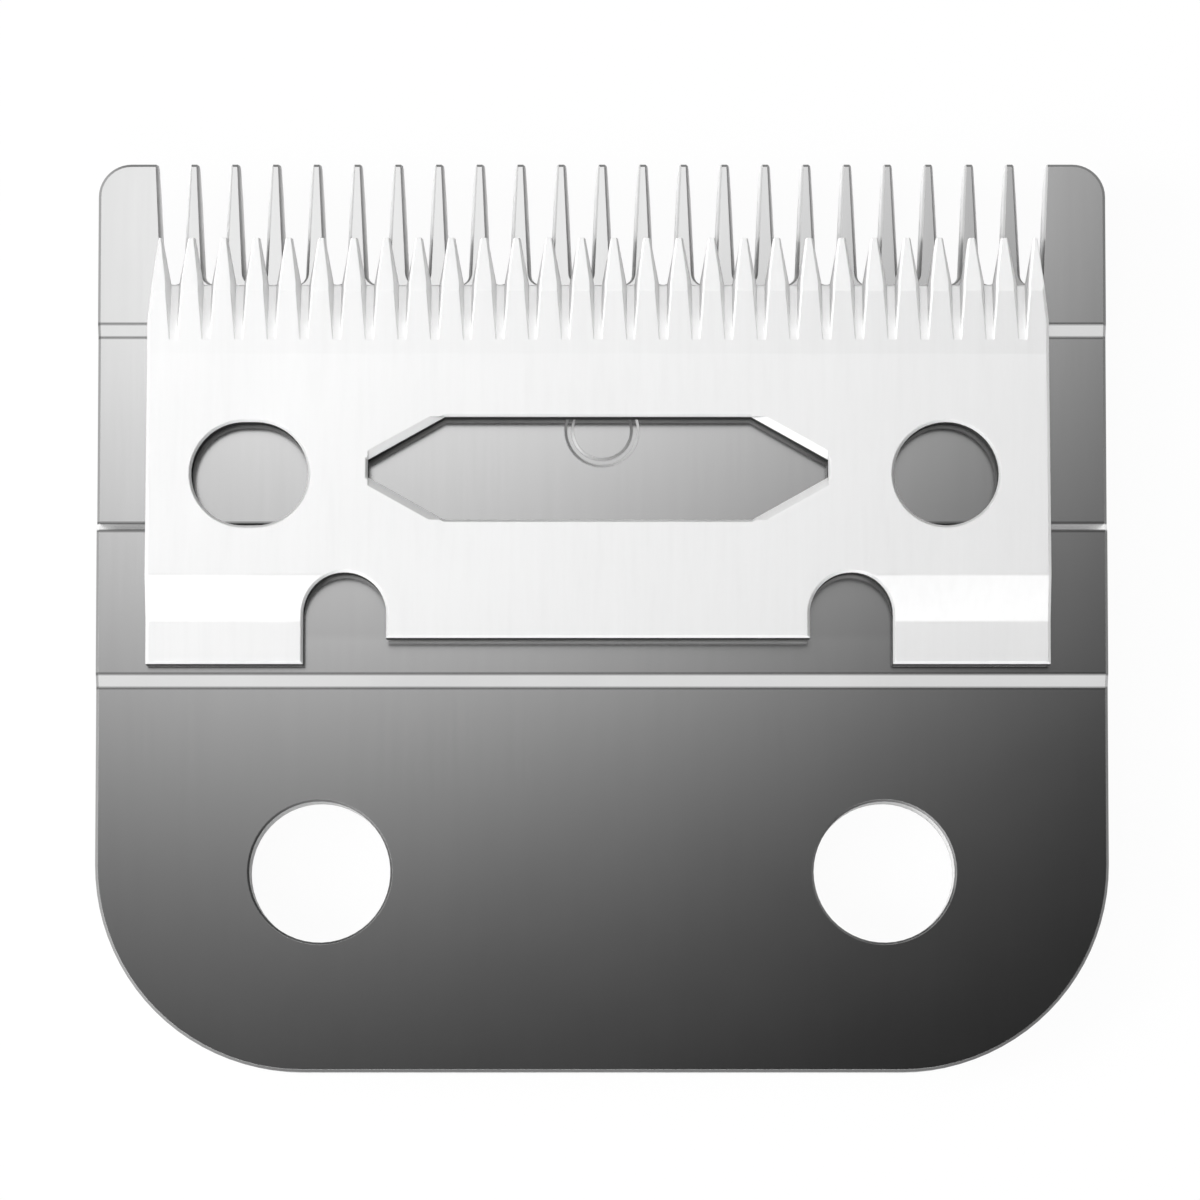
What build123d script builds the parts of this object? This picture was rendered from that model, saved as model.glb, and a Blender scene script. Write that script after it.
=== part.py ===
"""Two-piece hair clipper blade: a fixed comb blade and the cutter that slides across it.

Millimetres. The origin is under the middle of the fixed blade, at its flat underside.
+X runs along the row of teeth, +Y points to the comb tips, +Z is up.
"""

import os
from math import atan2, hypot, radians, tan

from build123d import *

# Fixed blade: outline
BLADE_WIDTH = 46.0
BLADE_LENGTH = 41.4
SHOULDER_RADIUS = 1.5
REAR_CORNER_RADIUS = 9.4
EDGE_BREAK = 0.12

# Fixed blade: section from the comb tips to the rear edge
PAD_THICKNESS = 2.4
RAIL_RISE = 0.4
HOLLOW_DEPTH = 0.35
FRONT_RAIL_LENGTH = 7.35
FRONT_STEP_RUN = 0.59
HEEL_RAIL_LEAD = 2.2
HEEL_STEP_RUN = 0.36
HEEL_RAIL_OVERRUN = 0.35
PAD_STEP_RUN = 0.62
UNDERSIDE_FLAT = 24.0
COMB_TIP_THICKNESS = 0.7

# Fixed blade: comb teeth
COMB_TEETH = 21
COMB_PITCH = 1.864
COMB_TOOTH_LENGTH = 5.6
COMB_TIP_WIDTH = 0.2
COMB_ROOT_RADIUS = 0.6
COMB_DRAFT = 10.5
COMB_FACET_DEPTH = 0.9

# Fixed blade: screw holes and the round groove in the hollow
SCREW_HOLE_RADIUS = 3.2
SCREW_HOLE_SPACING = 25.6
SCREW_HOLE_FROM_REAR = 9.06
SCREW_HOLE_BREAK = 0.1
RING_RADIUS = 1.71
RING_WIDTH = 0.42
RING_DEPTH = 0.08
RING_FROM_TIPS = 12.19
RING_WALL_ANGLE = 55.0

# Cutter: outline and place on the fixed blade
CUTTER_WIDTH = 40.96
CUTTER_LENGTH = 19.56
CUTTER_SETBACK = 3.45
CUTTER_REST_SHIFT = -0.18
OIL_FILM = 0.02

# Cutter: formed section from its tips to its feet
CUTTER_THICKNESS = 1.3
CUTTER_FRONT_FLAT = 5.44
CUTTER_BEVEL_LENGTH = 2.56
CUTTER_TIP_THICKNESS = 0.4
HEEL_LIFT = 0.8
HEEL_SLOPE_RUN = 2.08
FOOT_LENGTH = 1.91
TAB_SETBACK = 1.1
BEND_RADIUS = 0.3
NOTCH_WIDTH = 3.78
NOTCH_SPACING = 22.9
NOTCH_RELIEF = 0.03

# Cutter: teeth
CUTTER_TEETH = 28
CUTTER_PITCH = 1.484
CUTTER_TIP_WIDTH = 0.34
CUTTER_ROOT_GAP = 0.36
CUTTER_ROOT_FROM_TIPS = 2.12
CUTTER_DRAFT = 10.0
GROOVE_RUN = 2.68
FLANK_INSET = 0.45
FLANK_LENGTH = 3.9

# Cutter: guide holes and drive opening
GUIDE_HOLE_RADIUS = 2.37
GUIDE_HOLE_SPACING = 31.54
GUIDE_HOLE_FROM_TIPS = 10.95
GUIDE_HOLE_PLAY = 0.55
DRIVE_LENGTH = 20.84
DRIVE_HEIGHT = 4.72
DRIVE_EDGE = 13.9
DRIVE_NOSE = 0.8
DRIVE_FROM_TIPS = 10.7
DRIVE_BEVEL_DEPTH = 0.25
DRIVE_BEVEL_ANGLE = 55.0

# A face or an edge that leans less than this from upright or level counts as a wall or a rim
WALL_LEAN = 0.5

# How far a cutting shape runs past the surface it opens
PASS = 0.5

# Lines across the blade, all measured from the comb tips or the rear edge
front_y = BLADE_LENGTH / 2
rear_y = -BLADE_LENGTH / 2
rail_z = PAD_THICKNESS + RAIL_RISE
hollow_z = rail_z - HOLLOW_DEPTH
comb_root_y = front_y - COMB_TOOTH_LENGTH
cutter_tip_y = front_y - CUTTER_SETBACK
cutter_rear_y = cutter_tip_y - CUTTER_LENGTH
crease_y = cutter_tip_y - CUTTER_FRONT_FLAT
foot_y = cutter_rear_y + FOOT_LENGTH
bend_y = foot_y + HEEL_SLOPE_RUN
tab_y = cutter_rear_y + TAB_SETBACK
front_rail_y = front_y - FRONT_RAIL_LENGTH
heel_rail_front_y = bend_y + HEEL_RAIL_LEAD
heel_rail_rear_y = cutter_rear_y - HEEL_RAIL_OVERRUN
bevel_y = rear_y + UNDERSIDE_FLAT
comb_tip_z = rail_z - COMB_TIP_THICKNESS

# The comb gaps are cut only as deep as the blade is thick at their roots
root_underside_z = comb_tip_z * (comb_root_y - bevel_y) / (front_y - bevel_y)
comb_cut = rail_z - root_underside_z + PASS
comb_gap_mouth = COMB_PITCH - COMB_TIP_WIDTH
comb_gap_flare = (comb_gap_mouth - 2 * COMB_ROOT_RADIUS) / COMB_TOOTH_LENGTH


with BuildPart() as comb_gap:
    # One gap of the comb: flared in plan, round at its root, with leaning facets along its upper edges
    with BuildSketch(Plane.XY.offset(rail_z)):
        with BuildLine():
            mouth = comb_gap_mouth + comb_gap_flare * PASS
            Line((-mouth / 2, front_y + PASS), (mouth / 2, front_y + PASS))
            CenterArc((0, comb_root_y + COMB_ROOT_RADIUS), COMB_ROOT_RADIUS, 180, 180)
        make_hull()
    extrude(amount=-COMB_FACET_DEPTH)
    gap_walls = comb_gap.faces().filter_by(Axis.Z, reverse=True).sort_by(Axis.Y)[:-1]
    draft(gap_walls, Plane.XY.offset(rail_z), -COMB_DRAFT)
    extrude(comb_gap.faces().sort_by(Axis.Z)[0], amount=comb_cut - COMB_FACET_DEPTH)


with BuildPart() as fixed_blade:
    # Ground section, drawn along the blade and drawn out to its width
    with BuildSketch(Plane.YZ):
        with BuildLine():
            Polyline(
                (rear_y, 0),
                (bevel_y, 0),
                (front_y, comb_tip_z),
                (front_y, rail_z),
                (front_rail_y, rail_z),
                (front_rail_y - FRONT_STEP_RUN, hollow_z),
                (heel_rail_front_y + HEEL_STEP_RUN, hollow_z),
                (heel_rail_front_y, rail_z),
                (heel_rail_rear_y, rail_z),
                (heel_rail_rear_y - PAD_STEP_RUN, PAD_THICKNESS),
                (rear_y, PAD_THICKNESS),
                close=True,
            )
        make_face()
    extrude(amount=BLADE_WIDTH / 2, both=True)

    # Plan outline
    with BuildSketch() as outline:
        Rectangle(BLADE_WIDTH, BLADE_LENGTH)
        fillet(outline.vertices().group_by(Axis.Y)[-1], SHOULDER_RADIUS)
        fillet(outline.vertices().group_by(Axis.Y)[0], REAR_CORNER_RADIUS)
    extrude(amount=rail_z, mode=Mode.INTERSECT)
    walls = fixed_blade.faces().filter_by(lambda f: abs(f.normal_at().Z) < WALL_LEAN)
    chamfer(walls.edges().filter_by(Axis.Z, reverse=True), EDGE_BREAK)

    # Screw holes through the pad
    with Locations((0, rear_y + SCREW_HOLE_FROM_REAR, PAD_THICKNESS)):
        with GridLocations(SCREW_HOLE_SPACING, 0, 2, 1):
            Hole(SCREW_HOLE_RADIUS)
    screw_rims = fixed_blade.edges(Select.LAST).filter_by(GeomType.CIRCLE)
    chamfer(screw_rims, SCREW_HOLE_BREAK)

    # Shallow round groove in the floor of the hollow
    with BuildSketch(Plane.XY.offset(hollow_z)):
        with Locations((0, front_y - RING_FROM_TIPS)):
            Circle(RING_RADIUS)
            Circle(RING_RADIUS - RING_WIDTH, mode=Mode.SUBTRACT)
    extrude(amount=-RING_DEPTH, taper=RING_WALL_ANGLE, mode=Mode.SUBTRACT)

    # Row of comb gaps between the two shoulders
    with GridLocations(COMB_PITCH, 0, COMB_TEETH + 1, 1):
        add(comb_gap.part, mode=Mode.SUBTRACT)

fixed_blade.part.label = "fixed_blade"


# The cutter is drawn from the plane of its contact with the rails
contact = Plane((CUTTER_REST_SHIFT, 0, rail_z + OIL_FILM))
side = Plane(contact.origin, x_dir=(0, 1, 0), z_dir=(1, 0, 0))
web_half = NOTCH_SPACING / 2
heel_width = CUTTER_WIDTH / 2 - web_half
web_slope = HEEL_LIFT / (crease_y - bend_y)
top_z = CUTTER_THICKNESS
cutter_height = top_z + (crease_y - cutter_rear_y) * web_slope + PASS
bend_turn = atan2(HEEL_LIFT, HEEL_SLOPE_RUN) + atan2(HEEL_LIFT, crease_y - bend_y)
notch_top_y = bend_y + BEND_RADIUS * tan(bend_turn / 2) + NOTCH_RELIEF
notch_y = notch_top_y - NOTCH_WIDTH / 2
guide_y = cutter_tip_y - GUIDE_HOLE_FROM_TIPS

# The drive opening is cut through the sloping web, here with the web's upper face at its middle
drive_y = cutter_tip_y - DRIVE_FROM_TIPS
drive_slope = (DRIVE_HEIGHT - DRIVE_NOSE) / (DRIVE_LENGTH - DRIVE_EDGE)
point_x = DRIVE_LENGTH / 2 + DRIVE_NOSE / 2 / drive_slope
point_y = point_x * drive_slope
web_face = Plane(
    contact.origin + Vector(0, drive_y, top_z + (crease_y - drive_y) * web_slope),
    x_dir=(1, 0, 0),
    z_dir=(0, web_slope, 1),
)

# The tooth grooves climb from the contact face at their roots to the top face
cutter_root_y = cutter_tip_y - CUTTER_ROOT_FROM_TIPS
groove_length = hypot(GROOVE_RUN, top_z)
groove_plane = Plane(
    contact.origin + Vector(0, cutter_root_y, 0),
    x_dir=(1, 0, 0),
    z_dir=(0, -GROOVE_RUN, top_z),
)
groove_flare = tan(radians(CUTTER_DRAFT)) * groove_length / GROOVE_RUN
groove_mouth = CUTTER_ROOT_GAP + 2 * groove_flare * groove_length
cutter_gap_mouth = CUTTER_PITCH - CUTTER_TIP_WIDTH
cutter_gap_flare = (cutter_gap_mouth - CUTTER_ROOT_GAP) / CUTTER_ROOT_FROM_TIPS


def under(top_line):
    """The line of the plate's lower face, traced back below its upper face."""
    return [(y, z - CUTTER_THICKNESS) for y, z in reversed(top_line)]


with BuildPart() as cutter_gap:
    # One gap of the cutter, flared in plan and wider at the top; its edges cut at the contact face
    with BuildSketch(contact.offset(-PASS)):
        with BuildLine():
            mouth = cutter_gap_mouth + cutter_gap_flare * PASS
            Polyline(
                (-mouth / 2, cutter_tip_y + PASS),
                (-CUTTER_ROOT_GAP / 2, cutter_root_y),
                (CUTTER_ROOT_GAP / 2, cutter_root_y),
                (mouth / 2, cutter_tip_y + PASS),
                close=True,
            )
        make_face()
    extrude(amount=top_z + 2 * PASS)
    left_wall, *_, right_wall = cutter_gap.faces().sort_by(Axis.X)
    draft([left_wall, right_wall], contact, -CUTTER_DRAFT)


with BuildSketch() as drive_slants:
    # The four slanted walls of the drive opening, run on until they meet
    with BuildLine():
        Polyline((point_x, 0), (0, point_y), (-point_x, 0), (0, -point_y), close=True)
    make_face()


with BuildPart() as drive_bevel:
    # Breaks only the slanted edges of the opening, between its straight walls
    with BuildSketch(web_face.offset(PASS)):
        add(drive_slants.sketch)
    extrude(amount=-2 * DRIVE_BEVEL_DEPTH - PASS)
    slants = drive_bevel.faces().filter_by(web_face, reverse=True)
    draft(slants, web_face.offset(-DRIVE_BEVEL_DEPTH), -DRIVE_BEVEL_ANGLE)
    with BuildSketch(contact):
        with Locations((0, drive_y)):
            Rectangle(DRIVE_LENGTH, DRIVE_HEIGHT)
    extrude(amount=cutter_height, mode=Mode.INTERSECT)


with BuildPart() as cutter_blade:
    # Heels: flat at the teeth, rising to the bend, then bent down to flat feet
    with BuildSketch(side.offset(web_half)):
        with BuildLine():
            heel_top = [
                (cutter_tip_y, top_z),
                (crease_y, top_z),
                (bend_y, top_z + HEEL_LIFT),
                (foot_y, top_z),
                (cutter_rear_y, top_z),
            ]
            Polyline(*heel_top, *under(heel_top), close=True)
        make_face()
    extrude(amount=heel_width)
    heel_bends = cutter_blade.edges().filter_by(Axis.X)
    heel_bends = heel_bends.filter_by_position(Axis.Y, foot_y, bend_y)
    fillet(heel_bends, BEND_RADIUS)
    mirror(about=side)

    # Web: the same rise, carried on straight to the free edge of the middle tab
    with BuildSketch(side):
        with BuildLine():
            web_top = [
                (cutter_tip_y, top_z),
                (crease_y, top_z),
                (tab_y, top_z + (crease_y - tab_y) * web_slope),
            ]
            Polyline(*web_top, *under(web_top), close=True)
        make_face()
    extrude(amount=web_half, both=True)

    # Plan outline with the outer flanks of the end teeth
    with BuildSketch(contact):
        with BuildLine():
            half = CUTTER_WIDTH / 2
            Polyline(
                (-half, cutter_rear_y),
                (half, cutter_rear_y),
                (half, cutter_tip_y - FLANK_LENGTH),
                (half - FLANK_INSET, cutter_tip_y),
                (FLANK_INSET - half, cutter_tip_y),
                (-half, cutter_tip_y - FLANK_LENGTH),
                close=True,
            )
        make_face()
    extrude(amount=cutter_height, mode=Mode.INTERSECT)

    # Relief notches that free the heels from the middle tab
    with BuildSketch(contact):
        with Locations((0, notch_y)):
            with GridLocations(NOTCH_SPACING, 0, 2, 1):
                Circle(NOTCH_WIDTH / 2)
                Rectangle(NOTCH_WIDTH, notch_y - cutter_rear_y, align=(Align.CENTER, Align.MAX))
    extrude(amount=cutter_height, mode=Mode.SUBTRACT)

    # Guide holes, the left one longer for play
    with BuildSketch(contact):
        with Locations((GUIDE_HOLE_SPACING / 2, guide_y)):
            Circle(GUIDE_HOLE_RADIUS)
        with Locations((-GUIDE_HOLE_SPACING / 2, guide_y)):
            SlotCenterToCenter(GUIDE_HOLE_PLAY, 2 * GUIDE_HOLE_RADIUS)
    extrude(amount=cutter_height, mode=Mode.SUBTRACT)

    # Drive opening between them
    with BuildSketch(contact):
        with Locations((0, drive_y)):
            add(drive_slants.sketch)
            Rectangle(DRIVE_LENGTH, DRIVE_HEIGHT, mode=Mode.INTERSECT)
    extrude(amount=cutter_height, mode=Mode.SUBTRACT)

    # Broken rims, and the wider bevels of the slanted drive edges
    walls = cutter_blade.faces().filter_by(lambda f: abs(f.normal_at().Z) < WALL_LEAN)
    walls = walls.sort_by(Axis.Y)[:-1]
    chamfer(walls.edges().filter_by(lambda e: abs(e.tangent_at(0.5).Z) < WALL_LEAN), EDGE_BREAK)

    add(drive_bevel.part, mode=Mode.SUBTRACT)

    # Front bevel over the teeth
    with BuildSketch(side):
        with BuildLine():
            bevel_drop = (top_z - CUTTER_TIP_THICKNESS) / CUTTER_BEVEL_LENGTH
            Polyline(
                (cutter_tip_y - CUTTER_BEVEL_LENGTH, top_z),
                (cutter_tip_y + PASS, CUTTER_TIP_THICKNESS - bevel_drop * PASS),
                (cutter_tip_y + PASS, top_z + PASS),
                (cutter_tip_y - CUTTER_BEVEL_LENGTH, top_z + PASS),
                close=True,
            )
        make_face()
    extrude(amount=CUTTER_WIDTH / 2 + PASS, both=True, mode=Mode.SUBTRACT)

    # Row of tooth gaps through the plate
    with GridLocations(CUTTER_PITCH, 0, CUTTER_TEETH - 1, 1):
        add(cutter_gap.part, mode=Mode.SUBTRACT)

    # Flat-bottomed grooves that carry the gaps on, up to the top face
    with BuildSketch(groove_plane):
        with GridLocations(CUTTER_PITCH, 0, CUTTER_TEETH - 1, 1):
            Polygon(
                (-CUTTER_ROOT_GAP / 2, 0),
                (CUTTER_ROOT_GAP / 2, 0),
                (groove_mouth / 2, groove_length),
                (-groove_mouth / 2, groove_length),
                align=None,
            )
    extrude(amount=groove_length + PASS, mode=Mode.SUBTRACT)

cutter_blade.part.label = "cutter_blade"

os.makedirs("parts", exist_ok=True)
for piece in (fixed_blade, cutter_blade):
    export_step(piece.part, f"parts/{piece.part.label}.step")
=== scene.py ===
import math
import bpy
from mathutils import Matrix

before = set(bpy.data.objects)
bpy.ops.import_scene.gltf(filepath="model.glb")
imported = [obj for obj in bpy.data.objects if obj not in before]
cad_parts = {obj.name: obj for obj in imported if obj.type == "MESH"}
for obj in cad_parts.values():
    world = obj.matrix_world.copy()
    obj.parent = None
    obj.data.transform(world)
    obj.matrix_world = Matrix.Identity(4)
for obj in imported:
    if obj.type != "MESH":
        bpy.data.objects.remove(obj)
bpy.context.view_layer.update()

from types import SimpleNamespace

import bpy
from mathutils import Matrix, Vector

MM = 0.001

# Camera: nearly straight down, leaning a little to the rear edge
IMAGE_FIELD = 54.58 * MM
CAMERA_AIM = Vector((-0.09, 0.72, 2.6)) * MM
CAMERA_DISTANCE = 300.0 * MM
CAMERA_LEAN = math.radians(5.0)
CAMERA_SENSOR = 36.0
CAMERA_CLIP = (0.01, 10.0)

# Floor: pale, seen nearly white
FLOOR_SIZE = 6.0
FLOOR_COLOUR = 0.8
FLOOR_GLOW = 0.95

# Room: bright to the left, dim to the right, brighter to the rear, dim near the floor
ROOM_LEFT = 2.3
ROOM_RIGHT = 0.48
ROOM_TURN = 0.9
ROOM_FRONT = 0.3
ROOM_REAR = 1.2
ROOM_FOOT = 0.3
ROOM_FADE = (0.3, 0.75)

# Lamp: soft and low at the left, for the matt tooth flanks and the floor only
LAMP_STRENGTH = 2.5
LAMP_SPREAD = math.radians(25.0)
LAMP_HEIGHT = math.radians(25.0)

# Overhead panel: a soft oval glow at its front left, level in its middle, dark towards the rear right
PANEL_HEIGHT = 120.0 * MM
PANEL_SIZE = 170.0 * MM
PANEL_SHIFT = 12.0 * MM
PANEL_GLOW = 2.7
PANEL_LEVEL = 2.09
PANEL_DARK = 0.0135
GLOW_PLACE = Vector((-10.75, 42.0, 120.0)) * MM
GLOW_LONG = 30.9 * MM
GLOW_SHORT = 22.7 * MM
GLOW_TURN = math.radians(28.2)
GLOW_FALL = -0.5

# Steel finishes: tone and roughness of the faces, tones of the tooth flanks and of the other walls
FIXED_TONE = 0.4
FIXED_ROUGHNESS = 0.15
FIXED_FLANK_TONE = 0.38
FIXED_WALL_TONE = 0.55
FIXED_EDGE = 0.025 * MM
CUTTER_TONE = 0.96
CUTTER_ROUGHNESS = 0.6
CUTTER_FLANK_TONE = 0.8
# Painted shade: the cutter's cut walls behind the teeth are painted nearly black for the shade in its
# holes and notches
CUTTER_WALL_TONE = 0.05
CUTTER_EDGE = 0.06 * MM

# Tooth flanks: where they begin, and where they are painted paler, a painted light: lower on the comb
# flanks for the light from the floor, and towards the ends of the grooves for their highlights
TEETH_FROM = (11.0 * MM, 12.0 * MM)
COMB_PAINTED_LIGHT = (2.55 * MM, 1.9 * MM)
GROOVES_PAINTED_LIGHT = (13.9 * MM, 12.7 * MM)
PAINTED_LIGHT_TONE = 0.92

# Grain: fine grinding lines and soft clouds, and how far they move tone, roughness and relief
LINE_SCALE = (2500.0, 120.0, 2500.0)
LINE_DETAIL = 4.0
LINE_ROUGHNESS = 0.6
CLOUD_SCALE = 150.0
CLOUD_DETAIL = 5.0
CLOUD_ROUGHNESS = 0.5
GRAIN_RANGE = (0.3, 0.7)
FACE_SPREAD = 0.015
FLANK_SPREAD = 0.03
WALL_SPREAD = 0.05
ROUGHNESS_SPREAD = 0.07
RELIEF_STRENGTH = 0.04
RELIEF_DEPTH = 0.01 * MM

# Worn edges: how far the rounding turns the normal there, and the roughness that wear adds
EDGE_SAMPLES = 6
WORN_TURN = (0.995, 0.9)
WORN_ROUGHNESS = 0.1

# Masks by how much a face looks up or to the right: cut walls, upper faces, leaning rims and steps
WALL_RISE = (0.6, 0.3)
UPPER_RISE = (0.1, 0.3)
RIM_RISE = (0.9, 0.8)
STEP_RISE = (0.97, 0.9)
RIM_SHADE_SIDE = (-0.6, -0.1)

# Fixed blade: ground steps across it, middle and half run, edged with fine painted dark lines that stand
# in for the shade at their edges
STEPS = ((13.055 * MM, 0.295 * MM), (4.06 * MM, 0.2 * MM), (-2.97 * MM, 0.31 * MM))
# Each step face is painted in its own tone, a painted highlight standing in for the light it reflects
STEP_PAINTED_LIGHT = (0.9, 2.4, 1.05)
STEP_LINE = 0.09 * MM
STEP_LINE_CORE = 0.036 * MM
STEP_LINE_PAINTED_SHADE = 0.45
# Leaning edges that do not face left are painted darker: painted shade on the side away from the light
RIM_PAINTED_SHADE = 0.5

# Fixed blade: round groove, middle and half run of its painted shade lines, reach of its matt walls
RING_PLACE = Vector((0.0, 8.51, 0.0)) * MM
RING_EDGES = ((1.5 * MM, 0.155 * MM),)
RING_REACH = (2.0 * MM, 1.9 * MM)
RING_PAINTED_SHADE_DEPTH = 0.5

# Fixed blade: painted shade under the run of the cutter, darker where the cutter hides the light
UNDER_CUTTER_SHADE_MIDDLE = 6.05 * MM
UNDER_CUTTER_SHADE_HALF_LENGTH = 7.25 * MM
UNDER_CUTTER_SHADE_HALF_WIDTH = 20.3 * MM
UNDER_CUTTER_SHADE_FADE = 0.4 * MM
UNDER_CUTTER_SHADE = 0.93


def new_material(name):
    """A node material with an output and nothing else."""
    material = bpy.data.materials.new(name)
    material.use_nodes = True
    tree = material.node_tree
    tree.nodes.clear()
    output = tree.nodes.new("ShaderNodeOutputMaterial")
    return material, tree, output


def add_node(tree, kind, inputs=None, **settings):
    """One node with its settings and unlinked input values."""
    node = tree.nodes.new(kind)
    for key, value in settings.items():
        setattr(node, key, value)
    for key, value in (inputs or {}).items():
        node.inputs[key].default_value = value
    return node


def grey(value):
    return (value, value, value, 1)


def tone_ramp(tree, source, tone, spread):
    """Tones around one grey, driven by a noise."""
    ramp = add_node(tree, "ShaderNodeValToRGB")
    low, high = ramp.color_ramp.elements
    low.position, high.position = GRAIN_RANGE
    low.color = grey(tone * (1 - spread))
    high.color = grey(min(1.0, tone * (1 + spread)))
    tree.links.new(source, ramp.inputs["Fac"])
    return ramp.outputs["Color"]


def blend(tree, mask, below, above):
    """One colour laid over another by a mask."""
    mix = add_node(tree, "ShaderNodeMix", data_type="RGBA")
    tree.links.new(mask, mix.inputs["Factor"])
    tree.links.new(below, mix.inputs[6])
    tree.links.new(above, mix.inputs[7])
    return mix.outputs[2]


def ranged(tree, source, low, high, to_low=0.0, to_high=1.0):
    """A value carried from one range to another."""
    node = add_node(tree, "ShaderNodeMapRange", {"From Min": low, "From Max": high})
    node.inputs["To Min"].default_value = to_low
    node.inputs["To Max"].default_value = to_high
    tree.links.new(source, node.inputs["Value"])
    return node.outputs["Result"]


def reckon(tree, operation, first, second):
    """One sum of two linked values."""
    node = add_node(tree, "ShaderNodeMath", operation=operation)
    tree.links.new(first, node.inputs[0])
    tree.links.new(second, node.inputs[1])
    return node.outputs["Value"]


def reckon_with(tree, operation, source, number):
    """One sum of a linked value and a number."""
    node = add_node(tree, "ShaderNodeMath", {1: number}, operation=operation)
    tree.links.new(source, node.inputs[0])
    return node.outputs["Value"]


def both(tree, first, second):
    """Where two masks meet."""
    return reckon(tree, "MULTIPLY", first, second)


def either(tree, first, second):
    """Where one of two masks is; the first may be missing."""
    return reckon(tree, "MAXIMUM", first, second) if first else second


def away_from(tree, source, place):
    """How far a value lies from one place."""
    size = add_node(tree, "ShaderNodeMath", operation="ABSOLUTE")
    tree.links.new(reckon_with(tree, "SUBTRACT", source, place), size.inputs[0])
    return size.outputs["Value"]


def parts_of(tree, vector):
    """The three parts of a vector."""
    split = add_node(tree, "ShaderNodeSeparateXYZ")
    tree.links.new(vector, split.inputs["Vector"])
    return split.outputs["X"], split.outputs["Y"], split.outputs["Z"]


def noise(tree, source, scale, detail, roughness):
    settings = {"Scale": scale, "Detail": detail, "Roughness": roughness}
    node = add_node(tree, "ShaderNodeTexNoise", settings)
    tree.links.new(source, node.inputs["Vector"])
    return node.outputs["Fac"]


def survey(tree, edge):
    """What a finish needs to know of a spot: where it lies, how it faces, its grain and its wear."""
    place = add_node(tree, "ShaderNodeTexCoord").outputs["Object"]
    face = add_node(tree, "ShaderNodeNewGeometry").outputs["True Normal"]
    spot = SimpleNamespace(place=place)
    spot.across, spot.along, spot.height = parts_of(tree, place)
    spot.sideways, _, spot.upward = parts_of(tree, face)

    stretch = add_node(tree, "ShaderNodeMapping", {"Scale": LINE_SCALE})
    tree.links.new(place, stretch.inputs["Vector"])
    spot.lines = noise(tree, stretch.outputs["Vector"], 1.0, LINE_DETAIL, LINE_ROUGHNESS)
    spot.clouds = noise(tree, place, CLOUD_SCALE, CLOUD_DETAIL, CLOUD_ROUGHNESS)

    rounding = add_node(tree, "ShaderNodeBevel", {"Radius": edge}, samples=EDGE_SAMPLES)
    spot.rounded = rounding.outputs["Normal"]
    turned = add_node(tree, "ShaderNodeVectorMath", operation="DOT_PRODUCT")
    tree.links.new(spot.rounded, turned.inputs[0])
    tree.links.new(face, turned.inputs[1])
    spot.worn = ranged(tree, turned.outputs["Value"], *WORN_TURN, 0.0, WORN_ROUGHNESS)
    spot.wall = ranged(tree, away_from(tree, spot.upward, 0.0), *WALL_RISE)
    return spot


def painted_edge_lines(tree, source, runs):
    """Mask of the fine painted shade lines at both edges of each run."""
    mask = None
    for middle, half in runs:
        edge = away_from(tree, away_from(tree, source, middle), half)
        mask = either(tree, mask, ranged(tree, edge, STEP_LINE, STEP_LINE_CORE))
    return mask


def step_face(tree, spot, middle, half):
    """Mask of the leaning face of one step."""
    face = ranged(tree, away_from(tree, spot.along, middle), half + STEP_LINE, half)
    return both(tree, face, ranged(tree, spot.upward, *STEP_RISE))


def leaning(tree, spot):
    """Mask of upper faces that lean."""
    return both(tree, ranged(tree, spot.upward, *RIM_RISE), ranged(tree, spot.upward, *UPPER_RISE))


def painted_rim_shade(tree, spot, steps):
    """Mask of the painted rim shade: leaning upper faces, but not those facing left, and no step face;
    they are painted darker away from the light.
    """
    shaded_rim = both(tree, leaning(tree, spot), ranged(tree, spot.sideways, *RIM_SHADE_SIDE))
    return both(tree, shaded_rim, ranged(tree, steps, 0.0, 1.0, 1.0, 0.0))


def under_cutter_mask(tree, spot):
    """Mask of the upper faces under the run of the cutter, where shade is painted."""
    aside = away_from(tree, spot.across, 0.0)
    ahead = away_from(tree, spot.along, UNDER_CUTTER_SHADE_MIDDLE)
    width = ranged(tree, aside, UNDER_CUTTER_SHADE_HALF_WIDTH, UNDER_CUTTER_SHADE_HALF_WIDTH - UNDER_CUTTER_SHADE_FADE)
    length = ranged(tree, ahead, UNDER_CUTTER_SHADE_HALF_LENGTH, UNDER_CUTTER_SHADE_HALF_LENGTH - UNDER_CUTTER_SHADE_FADE)
    return both(tree, both(tree, width, length), ranged(tree, spot.upward, *UPPER_RISE))


def ring_radius(tree, spot):
    """How far a spot lies from the middle of the round groove, seen from above."""
    offset = add_node(tree, "ShaderNodeVectorMath", {1: RING_PLACE}, operation="SUBTRACT")
    tree.links.new(spot.place, offset.inputs[0])
    level = add_node(tree, "ShaderNodeVectorMath", {1: (1.0, 1.0, 0.0)}, operation="MULTIPLY")
    tree.links.new(offset.outputs["Vector"], level.inputs[0])
    radius = add_node(tree, "ShaderNodeVectorMath", operation="LENGTH")
    tree.links.new(level.outputs["Vector"], radius.inputs[0])
    return radius.outputs["Value"]


def painted_shade_lines(tree, spot, radius):
    """Mask of the painted shade lines along the steps and the round groove, on upper faces only."""
    ring = ranged(tree, painted_edge_lines(tree, radius, RING_EDGES), 0.0, 1.0, 0.0, RING_PAINTED_SHADE_DEPTH)
    lines = either(tree, painted_edge_lines(tree, spot.along, STEPS), ring)
    return both(tree, lines, ranged(tree, spot.upward, *UPPER_RISE))


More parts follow.
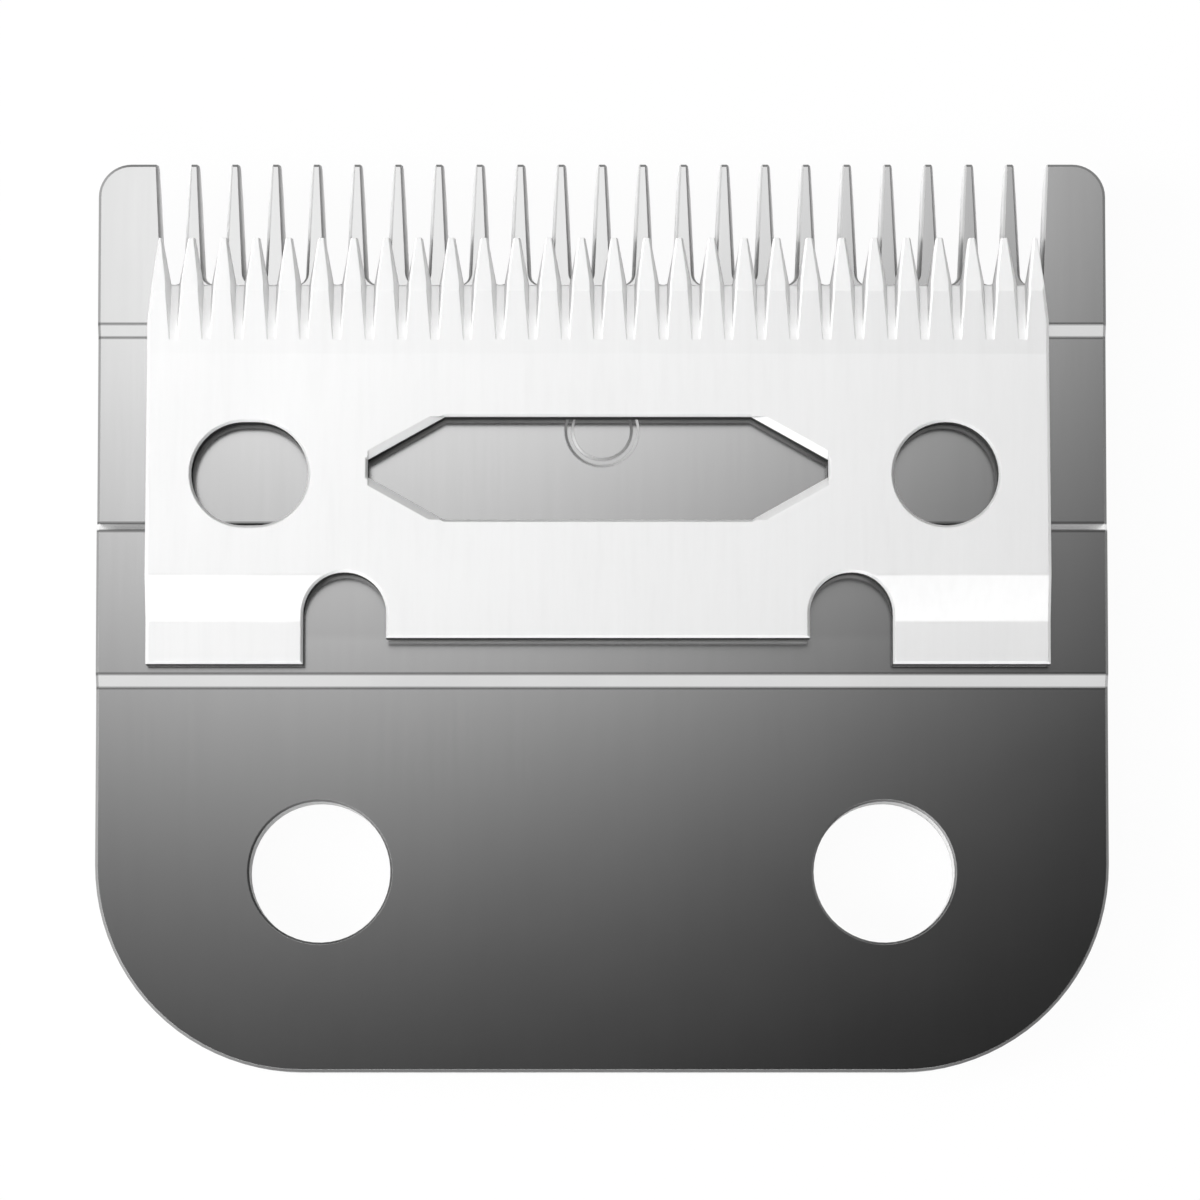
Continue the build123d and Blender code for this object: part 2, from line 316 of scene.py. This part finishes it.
def fixed_face(tree, spot, radius):
    """Colour of the fixed blade's faces: ground, with painted shade under the cutter, step faces in
    painted tones, painted rim shade and fine painted shade lines.
    """
    colour = tone_ramp(tree, spot.lines, FIXED_TONE, FACE_SPREAD)
    # Painted shade: the faces under the run of the cutter are painted darker
    shaded_under_cutter = tone_ramp(tree, spot.lines, FIXED_TONE * UNDER_CUTTER_SHADE, FACE_SPREAD)
    colour = blend(tree, under_cutter_mask(tree, spot), colour, shaded_under_cutter)
    steps = None
    for (middle, half), shade in zip(STEPS, STEP_PAINTED_LIGHT):
        step = step_face(tree, spot, middle, half)
        # Painted highlight: the step face in its own lighter or darker tone
        bright = tone_ramp(tree, spot.clouds, FIXED_TONE * shade, WALL_SPREAD)
        colour = blend(tree, step, colour, bright)
        steps = either(tree, steps, step)
    # Painted shade on the leaning edges that do not face the light
    shaded_rim = tone_ramp(tree, spot.clouds, FIXED_TONE * RIM_PAINTED_SHADE, WALL_SPREAD)
    colour = blend(tree, painted_rim_shade(tree, spot, steps), colour, shaded_rim)
    # Painted shade: fine dark lines along the step edges and the round groove
    dark = tone_ramp(tree, spot.clouds, FIXED_TONE * STEP_LINE_PAINTED_SHADE, WALL_SPREAD)
    return blend(tree, painted_shade_lines(tree, spot, radius), colour, dark)


def cut_walls(tree, spot, flank_tone, wall_tone, painted_fade):
    """Colour of the cut walls: tooth flanks that turn paler by a painted light, and the walls behind the
    teeth.
    """
    flank = tone_ramp(tree, spot.clouds, flank_tone, FLANK_SPREAD)
    # Painted light: the paler tone that the flanks turn to
    pale = tone_ramp(tree, spot.clouds, PAINTED_LIGHT_TONE, FLANK_SPREAD)
    plain = tone_ramp(tree, spot.clouds, wall_tone, WALL_SPREAD)
    teeth = ranged(tree, spot.along, *TEETH_FROM)
    return blend(tree, teeth, plain, blend(tree, painted_fade, flank, pale))


def finish(tree, output, spot, wall, colour, roughness):
    """Metal faces and matt walls, with clouded gloss, worn edges and fine relief."""
    smooth = roughness * (1 - ROUGHNESS_SPREAD)
    rough = roughness * (1 + ROUGHNESS_SPREAD)
    gloss = ranged(tree, spot.clouds, *GRAIN_RANGE, smooth, rough)
    metal = ranged(tree, wall, 0.0, 1.0, 1.0, 0.0)
    relief = add_node(tree, "ShaderNodeBump", {"Strength": RELIEF_STRENGTH, "Distance": RELIEF_DEPTH})
    tree.links.new(spot.lines, relief.inputs["Height"])
    tree.links.new(spot.rounded, relief.inputs["Normal"])
    shader = add_node(tree, "ShaderNodeBsdfPrincipled", {"Specular IOR Level": 0.0})
    tree.links.new(colour, shader.inputs["Base Color"])
    tree.links.new(metal, shader.inputs["Metallic"])
    tree.links.new(reckon(tree, "ADD", gloss, spot.worn), shader.inputs["Roughness"])
    tree.links.new(relief.outputs["Normal"], shader.inputs["Normal"])
    tree.links.new(shader.outputs["BSDF"], output.inputs["Surface"])


def fixed_steel():
    """Dark ground steel with matt walls, also in the round groove."""
    material, tree, output = new_material("ground_steel")
    spot = survey(tree, FIXED_EDGE)
    radius = ring_radius(tree, spot)
    ring_walls = both(tree, ranged(tree, radius, *RING_REACH), leaning(tree, spot))
    wall = either(tree, spot.wall, ring_walls)
    painted_fade = ranged(tree, spot.height, *COMB_PAINTED_LIGHT)
    walls = cut_walls(tree, spot, FIXED_FLANK_TONE, FIXED_WALL_TONE, painted_fade)
    colour = blend(tree, wall, fixed_face(tree, spot, radius), walls)
    finish(tree, output, spot, wall, colour, FIXED_ROUGHNESS)
    return material


def cutter_steel():
    """Bright plated steel with a soft sheen."""
    material, tree, output = new_material("plated_steel")
    spot = survey(tree, CUTTER_EDGE)
    painted_fade = ranged(tree, spot.along, *GROOVES_PAINTED_LIGHT)
    walls = cut_walls(tree, spot, CUTTER_FLANK_TONE, CUTTER_WALL_TONE, painted_fade)
    face = tone_ramp(tree, spot.lines, CUTTER_TONE, FACE_SPREAD)
    colour = blend(tree, spot.wall, face, walls)
    finish(tree, output, spot, spot.wall, colour, CUTTER_ROUGHNESS)
    return material


def floor_material():
    """Plain pale floor that the camera and reflections see nearly white, with a soft shadow left in it."""
    material, tree, output = new_material("studio_floor")
    rays = add_node(tree, "ShaderNodeLightPath").outputs
    mirrored = either(tree, rays["Is Glossy Ray"], rays["Is Transmission Ray"])
    sight = either(tree, rays["Is Camera Ray"], mirrored)
    matt = add_node(tree, "ShaderNodeBsdfDiffuse", {"Color": grey(FLOOR_COLOUR)})
    white = add_node(tree, "ShaderNodeEmission", {"Color": grey(1.0), "Strength": 1.0})
    pick = add_node(tree, "ShaderNodeMixShader")
    tree.links.new(reckon_with(tree, "MULTIPLY", sight, FLOOR_GLOW), pick.inputs["Fac"])
    tree.links.new(matt.outputs["BSDF"], pick.inputs[1])
    tree.links.new(white.outputs["Emission"], pick.inputs[2])
    tree.links.new(pick.outputs["Shader"], output.inputs["Surface"])
    return material


def panel_material():
    """Light panel with one soft oval glow that is level in its middle."""
    material, tree, output = new_material("studio_panel")
    place = add_node(tree, "ShaderNodeTexCoord").outputs["Object"]
    offset = add_node(tree, "ShaderNodeMapping", {"Location": GLOW_PLACE}, vector_type="TEXTURE")
    offset.inputs["Rotation"].default_value = (0.0, 0.0, GLOW_TURN)
    offset.inputs["Scale"].default_value = (GLOW_LONG, GLOW_SHORT, 1.0)
    tree.links.new(place, offset.inputs["Vector"])
    square = add_node(tree, "ShaderNodeVectorMath", operation="DOT_PRODUCT")
    tree.links.new(offset.outputs["Vector"], square.inputs[0])
    tree.links.new(offset.outputs["Vector"], square.inputs[1])
    soft = add_node(tree, "ShaderNodeMath", operation="EXPONENT")
    tree.links.new(reckon_with(tree, "MULTIPLY", square.outputs["Value"], GLOW_FALL), soft.inputs[0])
    level = reckon_with(tree, "MULTIPLY", soft.outputs["Value"], PANEL_GLOW)
    capped = reckon_with(tree, "MINIMUM", level, PANEL_LEVEL)
    glow = add_node(tree, "ShaderNodeEmission", {"Color": grey(1.0)})
    tree.links.new(reckon_with(tree, "ADD", capped, PANEL_DARK), glow.inputs["Strength"])
    tree.links.new(glow.outputs["Emission"], output.inputs["Surface"])
    return material


def sheet(name, size, shift, height, material):
    """A square stage sheet, level, moved to the front by the shift."""
    half = size / 2
    near, far = shift - half, shift + half
    mesh = bpy.data.meshes.new(name)
    corners = [(-half, near, height), (half, near, height), (half, far, height), (-half, far, height)]
    mesh.from_pydata(corners, [], [(0, 1, 2, 3)])
    mesh.materials.append(material)
    piece = bpy.data.objects.new(name, mesh)
    bpy.context.scene.collection.objects.link(piece)
    return piece


def make_stage():
    sheet("floor", FLOOR_SIZE, 0.0, 0.0, floor_material())
    panel = sheet("panel", PANEL_SIZE, PANEL_SHIFT, PANEL_HEIGHT, panel_material())
    panel.visible_camera = False


def make_lamp():
    data = bpy.data.lights.new("lamp", "SUN")
    data.energy = LAMP_STRENGTH
    data.angle = LAMP_SPREAD
    lamp = bpy.data.objects.new("lamp", data)
    lamp.rotation_euler = (0.0, LAMP_HEIGHT - math.pi / 2, 0.0)
    lamp.visible_glossy = False
    bpy.context.scene.collection.objects.link(lamp)


def make_world():
    """A pale room that turns from bright at the left to dim at the right, brighter at its rear."""
    world = bpy.data.worlds.new("studio")
    bpy.context.scene.world = world
    world.use_nodes = True
    tree = world.node_tree
    tree.nodes.clear()
    output = add_node(tree, "ShaderNodeOutputWorld")
    place = add_node(tree, "ShaderNodeTexCoord").outputs["Generated"]
    across, along, height = parts_of(tree, place)
    side = ranged(tree, across, -ROOM_TURN, ROOM_TURN, ROOM_LEFT, ROOM_RIGHT)
    front = ranged(tree, along, 0.0, 1.0, 1.0, 1.0 + ROOM_FRONT)
    rear = ranged(tree, along, 0.0, -1.0, 1.0, 1.0 + ROOM_REAR)
    rise = ranged(tree, height, *ROOM_FADE, ROOM_FOOT, 1.0)
    level = both(tree, both(tree, side, both(tree, front, rear)), rise)
    room = add_node(tree, "ShaderNodeBackground", {"Color": grey(1.0)})
    tree.links.new(level, room.inputs["Strength"])
    tree.links.new(room.outputs["Background"], output.inputs["Surface"])


def make_camera():
    data = bpy.data.cameras.new("camera")
    data.sensor_width = CAMERA_SENSOR
    data.lens = CAMERA_SENSOR * CAMERA_DISTANCE / IMAGE_FIELD
    data.clip_start, data.clip_end = CAMERA_CLIP
    camera = bpy.data.objects.new("camera", data)
    bpy.context.scene.collection.objects.link(camera)
    back = Vector((0.0, -math.sin(CAMERA_LEAN), math.cos(CAMERA_LEAN)))
    right = Vector((1.0, 0.0, 0.0))
    axes = Matrix((right, back.cross(right), back)).transposed()
    camera.location = CAMERA_AIM + back * CAMERA_DISTANCE
    camera.rotation_euler = axes.to_euler()
    bpy.context.scene.camera = camera


def dress(node, material):
    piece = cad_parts[node]
    piece.data.materials.clear()
    piece.data.materials.append(material)


make_camera()
make_world()
make_lamp()
make_stage()
dress("fixed_blade", fixed_steel())
dress("cutter_blade", cutter_steel())
bpy.context.scene.view_settings.view_transform = "Standard"
